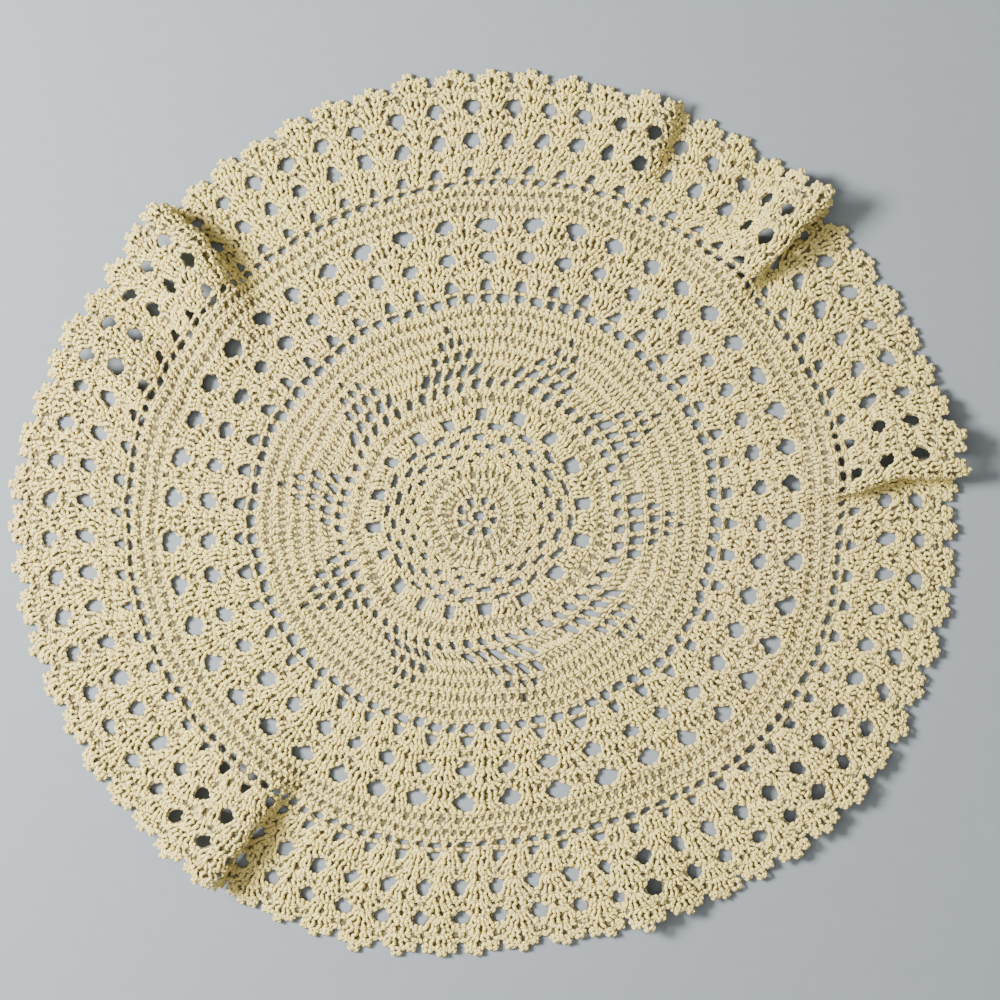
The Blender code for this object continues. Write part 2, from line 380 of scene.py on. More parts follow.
def addRing(radius, stitches, segments, firstTurn=0.0, **more):
    # a round's chain, in segments that meet
    pitch = 360 / segments
    shares = np.linspace(0, 1, yarn["chainPoints"])
    turns = repeatTurns(segments, firstTurn)[:, None] + shares[None] * pitch
    path = flatPlace(np.full(turns.shape, radius), turns)
    addBraid(path, round(stitches / segments), **more)


def postsAt(turns, foot, head, **more):
    # posts that stand straight outwards at each turn
    feet, heads = (flatPlace(np.full(len(turns), radius), turns) for radius in (foot, head))
    addPosts(feet, heads, **more)


def postRound(count, foot, head, firstTurn=0.0, pairing=0.16, **more):
    # an even round of posts, drawn together in pairs in some parts of it
    k = np.arange(count)
    pitch = 360 / count
    parts = handWork["pairedParts"]
    pull = pairing * np.cos(k * pi) * np.cos(k * pi * parts / count + chance.uniform(0, parts)) * pitch
    postsAt(firstTurn + k * pitch + pull, foot, head, **more)


# What all fans share: how their posts' feet are spread and sag, the strands along their sides, the chain
# over their tops, and the chain of two that closes the opening between two of them
fan = {
    "footShares": (0.2, 0.6, 1.0),
    "sagShares": (0.0, 0.4, 1.0),
    "edgeAside": (0.35, 0.2),
    "edgeInwards": 0.2,
    "capStitches": 2,
    "capWidth": 0.6,
    "topAbove": 0.3,
    "topShares": (-1, -0.85, -0.62, -0.38, -0.16, 0, 0.16, 0.38, 0.62, 0.85, 1),
    "columnSpread": 1.2,
}


def fanRound(repeats, firstTurn, row):
    # a round of fans, each of three posts, a chain space and three posts; the columns between them are at
    # firstTurn. column is the radius at which the tops of neighbouring fans meet
    turns = repeatTurns(repeats, firstTurn) + 180 / repeats
    half = row["head"] * pi / repeats
    drop = row["head"] - row["column"]
    headAside = half * np.array(row["heads"])
    headRadius = row["head"] - drop * np.array(row["heads"]) ** 2
    footAside = row["spread"] * np.array(fan["footShares"])
    footRadius = row["foot"] - row["sag"] * np.array(fan["sagShares"])
    footOut, headOut = fan["edgeAside"]
    for side in (1, -1):
        for k, relief in enumerate(handWork["fanRelief"]):
            feet = inRepeats([(side * footAside[k], footRadius[k])], turns)[:, 0]
            heads = inRepeats([(side * headAside[k], headRadius[k])], turns)[:, 0]
            addPosts(feet, heads, kind="fan", bow=side * row["bows"][k], lift=relief)
        midAside = (footAside[-1] + headAside[-1]) / 2 + row["bows"][-1]
        edge = [
            (side * (footAside[-1] + footOut), footRadius[-1] - fan["edgeInwards"]),
            (side * midAside, (footRadius[-1] + headRadius[-1]) / 2),
            (side * (headAside[-1] + headOut), headRadius[-1] - fan["edgeInwards"]),
        ]
        if row["edged"]:
            addEdge(inRepeats(edge, turns))
    if row["cap"]:
        reach, sink = row["capReach"]
        over = [(reach, row["cap"] - sink), (0, row["cap"]), (-reach, row["cap"] - sink)]
        addBraid(inRepeats(over, turns + 180 / repeats), fan["capStitches"], width=fan["capWidth"])

    shares = np.array(fan["topShares"])
    top = row["head"] + fan["topAbove"] - drop * shares**2 - row["notch"] * (shares == 0)
    path = flatPlace(np.broadcast_to(top, (repeats, len(shares))), turns[:, None] + shares * 180 / repeats)
    addBraid(path, row["chain"])


# Outlines of openings, in mm across, anticlockwise first, and outwards from the opening's middle
shapes = {
    "arch": ((0, 2.4), (1.9, 1.0), (2.4, -1.9), (-2.4, -1.9), (-1.9, 1.0)),
    "pentagon": ((0, -2.9), (-2.9, -0.1), (-1.7, 3.0), (2.1, 2.6), (3.0, -0.2)),
    "dome": ((0, -3.4), (-3.5, 0), (-2.1, 3.2), (0.1, 3.6), (2.2, 3.0), (3.4, 0.1)),
    "drop": ((-0.2, -3.0), (-2.3, -0.8), (-1.1, 3.0), (1.1, 3.2), (2.7, -0.6)),
    "rim": ((0.2, -2.7), (-2.6, 0.6), (-0.8, 2.7), (1.4, 2.3), (2.6, -0.2)),
    "unit": ((-0.5, 0.5), (0.5, 0.5), (0.5, -0.5), (-0.5, -0.5)),
    "small": ((-0.5, 0), (0, 0.5), (0.5, 0), (0, -0.5)),
}
cutShares = (0.22, 0.78)  # each side keeps what lies between these, so that every corner is cut off
openings = []


def addOpenings(shape, width, height, radius, turns):
    corners = np.array(shapes[shape]) * (width, height) + (0, radius)
    following = np.roll(corners, -1, axis=0)
    softened = [corners * (1 - share) + following * share for share in cutShares]
    corners = np.stack(softened, axis=1).reshape(-1, 2)
    openings.append(inRepeats(corners, turns))


# The middle: a ring with eight gaps round it, two dense rounds, five rounds of mesh that alternate, a round
# of arches and a last dense round
middle = {
    "hole": {"openRadius": 2.0, "corners": 8},
    "holeRing": {"radius": 2.9, "segments": 16, "stitches": 8, "width": 0.8},
    "gaps": 8,
    "gapTurn": 27.5,
    "gap": ("unit", 2.7, 3.1, 6.1),
    "spokeTurn": 5.0,
    "spoke": {"foot": 3.4, "head": 7.9, "spread": 0.45, "thick": 0.78},
    "spokeAside": 6.0,
    "spokeRing": {"radius": 8.1, "stitches": 20, "segments": 1, "width": 0.7},
    "denseColumns": ("count", "foot", "head", "firstTurn", "spread"),
    "dense": ((28, 8.4, 13.6, 3.0, 0.95), (42, 13.8, 19.2, 0.0, 0.85)),
    "densePairing": 0.10,
    "denseSegments": 4,
    "meshRepeats": 18,
    "meshColumns": ("foot", "head", "share"),
    "mesh": ((19.5, 21.6, 0.5), (21.7, 24.4, 0.0), (24.5, 27.3, 0.5), (27.4, 30.4, 0.0), (30.5, 33.4, 0.5)),
    "meshGroup": (-0.20, 0.0, 0.20),
    "meshSpread": 0.9,
    "meshStitches": 5,
    "meshChain": {"inwards": 0.1, "width": 0.5},
    "meshSolid": 5.4,
    "meshHigh": 0.78,
    "meshInwards": 0.1,
    "arch": ("unit", 4.2, 5.8, 36.7),
    "archRow": {
        "foot": 33.7,
        "head": 39.9,
        "column": 39.8,
        "spread": 2.8,
        "sag": 0.1,
        "bows": (0.0, 0.1, 0.2),
        "heads": (0.11, 0.35, 0.58),
        "notch": 0.0,
        "edged": True,
        "cap": 39.4,
        "capReach": (2.7, 0.2),
        "chain": 6,
    },
    "lastRound": (108, 40.1, 45.6),
}


def crochetMiddle():
    m = middle
    ring = m["holeRing"]
    turns = np.linspace(0, 360, ring["segments"] + 1)[None]
    path = flatPlace(np.full(turns.shape, ring["radius"]), turns)
    addBraid(path, ring["stitches"], width=ring["width"])
    hole = m["hole"]
    turns = repeatTurns(hole["corners"], 0.0)
    openings.append(flatPlace(np.full(turns.shape, hole["openRadius"]), turns)[None])
    addOpenings(*m["gap"], repeatTurns(m["gaps"], m["gapTurn"]))
    spokes = repeatTurns(m["gaps"], m["spokeTurn"])
    postsAt(np.concatenate([spokes - m["spokeAside"], spokes + m["spokeAside"]]), **m["spoke"])
    addRing(**m["spokeRing"])
    for values in m["dense"]:
        row = dict(zip(m["denseColumns"], values))
        postRound(**row, pairing=m["densePairing"], kind="dense")
        addRing(row["head"] + yarn["chainAbove"], row["count"], m["denseSegments"], **yarn["denseChain"])

    repeats = m["meshRepeats"]
    pitch = 360 / repeats
    chain = m["meshChain"]
    for values in m["mesh"]:
        row = dict(zip(m["meshColumns"], values))
        middles = repeatTurns(repeats, cloth["archTurn"] + pitch * (row["share"] + 0.5))
        turns = np.concatenate([middles + pitch * share for share in m["meshGroup"]])
        postsAt(turns, row["foot"], row["head"], spread=m["meshSpread"])
        radius = row["head"] - chain["inwards"]
        addRing(radius, m["meshStitches"] * repeats, repeats, middles[0], width=chain["width"])
        width = row["foot"] * 2 * pi / repeats - m["meshSolid"]
        place = (row["foot"] + row["head"]) / 2 - m["meshInwards"]
        high = m["meshHigh"] * (row["head"] - row["foot"])
        addOpenings("unit", width, high, place, middles + pitch / 2)

    fanRound(repeats, cloth["archTurn"], m["archRow"])
    addOpenings(*m["arch"], repeatTurns(repeats, cloth["archTurn"]))
    posts, foot, head = m["lastRound"]
    postRound(posts, foot, head, cloth["archTurn"], kind="dense")
    addRing(head + yarn["chainAbove"], posts, repeats, cloth["archTurn"], **yarn["denseChain"])
    print("middle crocheted")


# The star: a round of open blocks, then ten points that narrow in each round
star = {
    "openRound": {"repeats": 60, "foot": 45.8, "head": 50.8, "firstTurn": -1.0, "openWidth": 2.7},
    "pair": 1.1,  # mm between the two posts that stand between open blocks
    "pairSpread": 0.75,
    "openMargin": (0.7, 1.0),
    "spread": 0.95,
    "chainStitch": 2.45,
    "points": 10,
    "firstPoint": -4.0,
    "rowColumns": ("foot", "head", "openings", "openPitch", "openWidth", "dense"),
    "rows": (
        (50.9, 56.6, 5, 4.9, 2.7, 4),
        (56.7, 62.0, 4, 4.0, 2.0, 9),
        (62.1, 67.2, 3, 3.2, 1.5, 13),
        (67.3, 72.3, 1, 3.0, 1.0, 16),
        (72.4, 77.3, 0, 0.0, 0.0, 19),
    ),
    "eyelets": {"posts": 90, "foot": 77.5, "head": 82.0, "segments": 45, "size": (4.2, 3.2)},
    "eyeletChain": {"inwards": 0.0, "width": 0.5},
    "eyeletPairing": 0.05,
}


def addOpenBlocks(row, turns):
    # openings that leave a margin to the rounds below and above
    below, above = star["openMargin"]
    high = row["head"] - row["foot"] - below - above
    place = (row["head"] + row["foot"] + below - above) / 2
    addOpenings("unit", row["openWidth"], high, place, turns)


def eyeletRound(band, firstTurn):
    # a round of posts, each standing between two openings
    row = band["eyelets"]
    chain = band["eyeletChain"]
    posts = row["posts"]
    postRound(posts, row["foot"], row["head"], firstTurn + 180 / posts, band["eyeletPairing"])
    addRing(row["head"] - chain["inwards"], posts * 2, row["segments"], firstTurn, width=chain["width"])
    addOpenings("unit", *row["size"], (row["foot"] + row["head"]) / 2, repeatTurns(posts, firstTurn))


def crochetStar():
    s = star
    row = s["openRound"]
    repeats = row["repeats"]
    middles = repeatTurns(repeats, row["firstTurn"])
    for side in (-1, 1):
        turns = middles + side * np.degrees(s["pair"] / 2 / row["head"])
        postsAt(turns, row["foot"], row["head"], spread=s["pairSpread"])
    addRing(row["head"] + yarn["chainAbove"], 2 * repeats, repeats, middles[0])
    addOpenBlocks(row, middles + 180 / repeats)

    points = s["points"]
    pitch = 360 / points
    for values in s["rows"]:
        row = dict(zip(s["rowColumns"], values))
        blocks = row["openings"]
        reach = blocks * row["openPitch"] / 2
        edges = np.linspace(-reach, reach, blocks + 1) if blocks else np.array([-pitch / 2 / row["dense"]])
        dense = row["dense"] if blocks else row["dense"] - 1
        fill = np.linspace(edges[-1], edges[0] + pitch, dense + 2)[1:-1]
        local = np.concatenate([edges, fill])
        turns = (repeatTurns(points, s["firstPoint"])[:, None] + local).ravel()
        postsAt(turns, row["foot"], row["head"], kind="dense", spread=s["spread"])
        stitches = round(2 * pi * row["head"] / s["chainStitch"] / points) * points
        radius = row["head"] + yarn["chainAbove"]
        addRing(radius, stitches, points, s["firstPoint"] + pitch / 2, **yarn["denseChain"])
        for aside in (edges[1:] + edges[:-1]) / 2:
            addOpenBlocks(row, repeatTurns(points, s["firstPoint"] + aside))

    eyeletRound(s, shells["columnTurn"])
    print("star crocheted")


# The band of fans: five rounds, whose tops join in every second round and leave gaps between the others,
# and two dense rounds
shells = {
    "repeats": 45,
    "columnTurn": 5.5,
    "columns": (
        "foot", "head", "column", "spread", "sag",
        "bows", "heads", "notch", "edged", "cap", "chain",
    ),
    "capReach": (2.4, 0.7),
    "joined": (0.19, 0.45, 0.71),
    "rounded": (0.17, 0.47, 0.75),
    "straight": (0.10, 0.10, 0.20),
    "bowed": (0.30, 0.35, 0.35),
    "rows": (
        (82.4, 88.6, 87.6, 2.4, 0.1, "straight", "joined", 0.5, True, 87.6, 7),
        (89.0, 94.9, 90.6, 2.0, 0.3, "bowed", "rounded", 0.4, False, 0, 8),
        (95.2, 101.0, 98.8, 2.3, 0.6, "straight", "joined", 0.5, True, 98.6, 7),
        (101.2, 107.1, 101.8, 2.2, 0.3, "bowed", "rounded", 0.4, False, 0, 8),
        (107.6, 111.7, 111.4, 2.3, 0.7, "straight", "joined", 0.2, True, 111.0, 7),
    ),
    "joints": ((88.0, 90.4), (98.9, 102.0)),
    "solid": ((270, 111.8, 116.6), (270, 116.7, 121.3)),
    "solidPairing": 0.08,
    "solidSegments": 90,
    "openings": (
        ("arch", 1.1, 1.15, 85.2, 0.0),
        ("pentagon", 1.08, 1.12, 95.0, 0.0),
        ("dome", 1.12, 1.10, 106.8, 0.0),
        ("small", 1.4, 1.3, 89.6, 2.1),
        ("small", 1.4, 1.3, 89.6, -2.1),
        ("small", 1.4, 1.3, 100.9, 2.2),
        ("small", 1.4, 1.3, 100.9, -2.2),
    ),
}


def crochetFans(band):
    for values in band["rows"]:
        row = dict(zip(band["columns"], values))
        row["heads"] = band[row["heads"]]
        row["bows"] = band[row["bows"]]
        row["capReach"] = band["capReach"]
        fanRound(band["repeats"], band["columnTurn"], row)
    for foot, head in band["joints"]:
        postsAt(repeatTurns(band["repeats"], band["columnTurn"]), foot, head, spread=fan["columnSpread"])
    for shape, width, height, radius, aside in band["openings"]:
        turns = repeatTurns(band["repeats"], band["columnTurn"] + np.degrees(aside / radius))
        addOpenings(shape, width, height, radius, turns)


def crochetShells():
    crochetFans(shells)
    for posts, foot, head in shells["solid"]:
        postRound(posts, foot, head, shells["columnTurn"], shells["solidPairing"], kind="dense")
        radius = head + yarn["chainAbove"]
        addRing(radius, posts, shells["solidSegments"], shells["columnTurn"], **yarn["denseChain"])
    print("fans crocheted")


# The border: a round of eyelets, five rounds of narrower fans, and scallops edged with picots. A picot is a
# loop, given in mm aside and outwards from its place on the scallop
border = {
    "repeats": 75,
    "columnTurn": -2.6,
    "eyelets": {"posts": 150, "foot": 121.5, "head": 125.3, "segments": 75, "size": (3.0, 1.8)},
    "eyeletChain": {"inwards": 0.1, "width": 0.65},
    "eyeletPairing": 0.08,
    "openings": (
        ("arch", 0.85, 0.95, 128.0, 0.0),
        ("drop", 1.08, 1.2, 138.9, 0.0),
        ("rim", 1.06, 1.36, 150.0, 0.0),
        ("small", 1.0, 1.0, 133.2, 1.4),
        ("small", 1.0, 1.0, 145.2, -1.4),
    ),
    "columns": shells["columns"],
    "capReach": (1.8, 0.6),
    "joined": (0.20, 0.47, 0.74),
    "rounded": (0.18, 0.47, 0.75),
    "straight": (0.10, 0.10, 0.15),
    "bowed": (0.28, 0.32, 0.30),
    "rows": (
        (125.8, 131.2, 130.3, 2.2, 0.1, "straight", "joined", 0.5, True, 130.2, 6),
        (131.7, 137.6, 134.2, 1.8, 0.3, "bowed", "rounded", 0.4, False, 0, 7),
        (138.0, 144.3, 142.8, 2.0, 0.6, "straight", "joined", 0.5, True, 142.7, 6),
        (144.6, 150.3, 145.5, 1.9, 0.3, "bowed", "rounded", 0.4, False, 0, 7),
        (150.6, 156.5, 154.2, 2.0, 0.6, "straight", "joined", 0.5, True, 153.9, 6),
        (156.8, 162.0, 157.8, 2.1, 0.3, "bowed", "rounded", 0.3, False, 0, 7),
    ),
    "joints": ((130.6, 134.2), (142.8, 145.4), (154.2, 157.6)),
    "picots": ((-3.95, 160.7), (0.0, 162.2), (3.95, 160.7)),
    "picot": ((-0.7, -0.5), (-1.45, 1.0), (0.0, 2.4), (1.45, 1.0), (0.7, -0.5)),
    "picotUneven": 0.12,
    "picotChain": {"stitches": 4, "width": 0.95, "thick": 1.2},
}


def crochetBorder():
    b = border
    eyeletRound(b, b["columnTurn"])
    crochetFans(b)
    turns = repeatTurns(b["repeats"], b["columnTurn"]) + 180 / b["repeats"]
    for aside, radius in b["picots"]:
        loop = [(aside + x, radius + y) for x, y in b["picot"]]
        path = inRepeats(loop, turns)
        size = 1 + chance.normal(0, b["picotUneven"], (len(turns), 1, 1))
        path = path[:, :1] + (path - path[:, :1]) * size
        path = path + chance.normal(0, b["picotUneven"], (len(turns), 1, 2))
        addBraid(path, **b["picotChain"])
    print("border crocheted")


# The cloth is one piece of crochet. Its ground is the inner yarn that closes the stitches from within, one
# thin sheet with the openings left out, and its stitches lie on that in pieces small enough to handle. The
# ground's top is painted shade, dark olive as the gaps between stitches, and its underside plain cream. The
# rim's rows are share of the way across a scallop, and radius
ground = {
    "name": "doily_ground",
    "low": 0.50,
    "thick": 0.18,
    "rim": ((0.0, 157.0), (0.12, 158.8), (0.3, 161.2), (0.5, 162.0), (0.7, 161.2), (0.88, 158.8)),
    "supportColumns": ("inside", "outside", "spacing"),
    "supports": ((4.0, 78.0, 5.0), (80.0, 160.0, 2.7)),
    "supportTurn": 137.5,
    "strandTurn": 0.3,
    "strandPitch": 4.2,
}
pieces = {
    "columns": ("name", "inside", "outside", "quarters"),
    "rows": (
        ("stitches_middle", 0.0, 50.9, 1),
        ("stitches_star", 50.9, 81.8, 1),
        ("stitches_fans", 81.8, 111.7, 1),
        ("stitches_border", 111.7, 1000.0, 4),
    ),
    "quarterNames": ("right_top", "left_top", "left_bottom", "right_bottom"),
}


def groundSupports():
    # places spread evenly over the ground, so that it follows the folds
    for values in ground["supports"]:
        row = dict(zip(ground["supportColumns"], values))
        rounds = round((row["outside"] - row["inside"]) / row["spacing"])
        for k, radius in enumerate(np.linspace(row["inside"], row["outside"], rounds + 1)):
            count = round(2 * pi * radius / row["spacing"])
            yield flatPlace(np.full(count, radius), repeatTurns(count, k * ground["supportTurn"]))


def addMap(mesh, name, places):
    # a UV map, from two values for each corner of each face
    made = mesh.uv_layers.new(name=name)
    made.uv.foreach_set("vector", places.astype(np.float32).ravel())


def groundMesh():
    share, radius = np.array(ground["rim"]).T
    pitch = 360 / border["repeats"]
    rimTurns = repeatTurns(border["repeats"], border["columnTurn"])[:, None] + share * pitch
    loops = [flatPlace(np.tile(radius, border["repeats"]), rimTurns.ravel())]
    for group in openings:
        loops.extend(group)
    starts = np.cumsum([0] + [len(loop) for loop in loops])
    flat = np.concatenate(loops + list(groundSupports()))
    rings = [list(range(start, end)) for start, end in zip(starts[:-1], starts[1:])]
    places, _, triangles, _, _, within = delaunay_2d_cdt([Vector(p) for p in flat], [], rings, 1, 1e-5)
    kept = np.array([face for face, owners in zip(triangles, within) if owners == [0]])
    used, faces = np.unique(kept, return_inverse=True)
    places = np.array([tuple(p) for p in places])[used]
    points, _ = onCloth(drifted(places)[None], np.full((1, len(places)), ground["low"]))
    mesh = bpy.data.meshes.new(ground["name"])
    mesh.from_pydata((points[0] * mm).tolist(), [], faces.reshape(kept.shape).tolist())
    mesh.shade_smooth()
    radius, _ = polar(places[faces].reshape(-1, 2))
    spiral = np.stack([radius * ground["strandTurn"], radius], axis=-1)
    addMap(mesh, "strand", spiral / ground["strandPitch"])
    return mesh


# Each tube has a cell of its own in the bake map: where its sides lie in that, as lowest place and reach,
# along and round the tube, and where the corners of its two caps lie
bakeCell = {
    "along": (0.14, 0.82),
    "around": (0.04, 0.92),
    "capsAlong": ((0.02, 0.10, 0.10, 0.02), (0.02, 0.10, 0.10, 0.02)),
    "capsAround": ((0.1, 0.1, 0.4, 0.4), (0.9, 0.9, 0.6, 0.6)),
}


def tubeRings(flat, height, thick):
    # each strand's spine, and the corners of its tube round each point of that
    corners = yarn["corners"]
    spine, up = onCloth(flat, height)
    ahead = unit(np.gradient(spine, axis=1))
    side = unit(np.cross(ahead, up))
    top = np.cross(side, ahead)
    angle = 2 * pi * np.arange(corners) / corners
    half = np.full(flat.shape[1], yarn["halfThick"] * thick)
    half[[0, -1]] *= yarn["taper"]
    ringSide = np.cos(angle)[None, None, :, None] * side[:, :, None]
    ringTop = np.sin(angle)[None, None, :, None] * top[:, :, None] * yarn["squash"]
    return spine, spine[:, :, None] + (ringSide + ringTop) * half[None, :, None, None]


def tubeFaces(points):
    # one tube's faces, with each of their corners' place along its spine, round it and in its bake cell
    corners = yarn["corners"]
    corner = np.arange(corners)
    ring = np.arange(points - 1)[:, None]
    base = ring * corners
    following = (corner + 1) % corners
    ends = [base + corner, base + corners + corner, base + corners + following, base + following]
    quads = np.stack(ends, axis=-1).reshape(-1, 4)
    caps = np.array([corner, (points - 1) * corners + corner[::-1]])
    shape = (points - 1, corners, 4)
    along = np.broadcast_to(ring[:, :, None] + (0, 1, 1, 0), shape).reshape(-1, 4)
    around = np.broadcast_to(corner[:, None] + (0, 0, 1, 1), shape).reshape(-1, 4)
    low, reach = bakeCell["along"]
    bakeAlong = np.concatenate([low + reach * along / (points - 1), bakeCell["capsAlong"]])
    low, reach = bakeCell["around"]
    bakeAround = np.concatenate([low + reach * around / corners, bakeCell["capsAround"]])
    along = np.concatenate([along, [(0,) * corners, (points - 1,) * corners]])
    around = np.concatenate([around, [corner, corner[::-1]]]) / corners
    bake = np.stack([bakeAlong.ravel(), bakeAround.ravel()], axis=-1)
    return np.concatenate([quads, caps]), along, around, bake


def tubeMesh(name, batches):
    corners = yarn["corners"]
    verts, faces, strandPlaces, bakePlaces, cells, rises = [], [], [], [], [], []
    offset = 0
    tubes = 0
    for flat, height, thick in batches:
        count, points = flat.shape[:2]
        spine, rings = tubeRings(flat, height, thick)
        one, along, around, bake = tubeFaces(points)
        verts.append(rings.reshape(-1, 3))
        rises.append(np.repeat(height.ravel(), corners))
        base = offset + np.arange(count)[:, None, None] * points * corners
        faces.append((base + one[None]).reshape(-1, 4))
        steps = np.linalg.norm(np.diff(spine, axis=1), axis=-1)
        length = np.concatenate([np.zeros((count, 1)), np.cumsum(steps, axis=1)], axis=1)
        strandPlaces.append(np.stack([length[:, along].ravel(), np.tile(around.ravel(), count)], axis=-1))
        bakePlaces.append(np.tile(bake, (count, 1)))
        cells.append(np.repeat(np.arange(tubes, tubes + count), len(bake)))
        offset += count * points * corners
        tubes += count

    verts = np.concatenate(verts) * mm
    faces = np.concatenate(faces)
    mesh = bpy.data.meshes.new(name)
    mesh.vertices.add(len(verts))
    mesh.vertices.foreach_set("co", verts.astype(np.float32).ravel())
    mesh.loops.add(faces.size)
    mesh.loops.foreach_set("vertex_index", faces.astype(np.int32).ravel())
    mesh.polygons.add(len(faces))
    mesh.polygons.foreach_set("loop_start", np.arange(0, faces.size, 4, dtype=np.int32))
    mesh.polygons.foreach_set("use_smooth", np.ones(len(faces), bool))
    mesh.update(calc_edges=True)

    addMap(mesh, "strand", np.concatenate(strandPlaces))
    grid = int(np.ceil(np.sqrt(tubes)))
    cells = np.concatenate(cells)
    cellPlaces = np.stack([cells % grid, cells // grid], axis=-1)
    addMap(mesh, "OFBake", (cellPlaces + np.concatenate(bakePlaces)) / grid)
    mesh.uv_layers.active = mesh.uv_layers["strand"]
    rise = mesh.attributes.new("rise", "FLOAT", "POINT")
    rise.data.foreach_set("value", np.concatenate(rises).astype(np.float32))
    mesh.validate()
    return mesh


def pieceOf(flat):
    # the name of the piece that each strand belongs to
    radius, turn = polar(flat.mean(axis=1))
    names = np.empty(len(flat), object)
    for values in pieces["rows"]:
        row = dict(zip(pieces["columns"], values))
        within = (radius >= row["inside"]) & (radius < row["outside"])
        if row["quarters"] == 1:
            names[within] = row["name"]
        else:
            quarter = ((turn % 360) // 90).astype(int)
            for k, part in enumerate(pieces["quarterNames"]):
                names[within & (quarter == k)] = row["name"] + "_" + part
    return names


# The cotton: cream and a little uneven. Painted shade turns the strands olive where they sink, leaves them
# pale where they stand proud, and darkens each ply groove and each crease between knobs. The noises warmth,
# mottle, fibres and rough are scale, detail, the range that counts and what that becomes
cotton = {
    "tones": {
        "proud": (0.990, 0.842, 0.288, 1.0),
        "sunkShade": (0.450, 0.374, 0.168, 1.0),
        "warm": (0.985, 0.775, 0.360, 1.0),
    },
    # the ground's top is painted shade throughout, dark olive as the gaps between the stitches
    "shade": {
        "proud": (0.190, 0.163, 0.085, 1.0),
        "sunkShade": (0.190, 0.163, 0.085, 1.0),
        "warm": (0.250, 0.215, 0.115, 1.0),
    },
    # from behind the low end has no painted shade: the ground's underside is plain cream
    "behind": {"sunkShade": (0.800, 0.690, 0.300, 1.0)},
    # painted shade: the lower a strand lies over the underside, the darker and more olive it is painted
    "rise": (0.30, 1.15),  # heights over the underside, in mm, from sunk to proud
    "warmth": (14, 3, 0.45, 0.75, 0.0, 0.55),
    "mottle": (420, 3, 0.30, 0.70, 0.0, 0.35),
    "mottleShade": (0.80, 0.76, 0.66, 1.0),
    "fibres": (1500, 4, 0.40, 0.72, 0.0, 1.0),
    "fibreShade": (0.70, 0.67, 0.55, 1.0),
    "rough": (700, 2, 0.30, 0.70, 0.82, 0.98),
    "sheen": 0.25,
    "sheenRoughness": 0.5,
    "specular": 0.25,
    "plies": 3,
    "plyPitch": 3.0,
    "plyWander": 0.5,
    "plyDepth": 0.00022,
    # painted shade in each groove between plies, and how much of the ply wave counts as groove
    "grooveShade": (0.70, 0.66, 0.58, 1.0),
    "grooveShadeUpTo": 0.45,
    "knobSize": 1.9,
    "knobDepth": 0.0006,
    "knobEdge": 0.7,
    # painted shade in each crease between knobs, growing from the first distance to the second
    "creaseShade": (0.55, 0.52, 0.42, 1.0),
    "creaseShadeFrom": (0.25, 0.60),
    "fuzz": (2600, 3),
    "fuzzDepth": 0.00010,
}


def link(tree, node, output, target, socket):
    tree.links.new(node.outputs[output], target.inputs[socket])


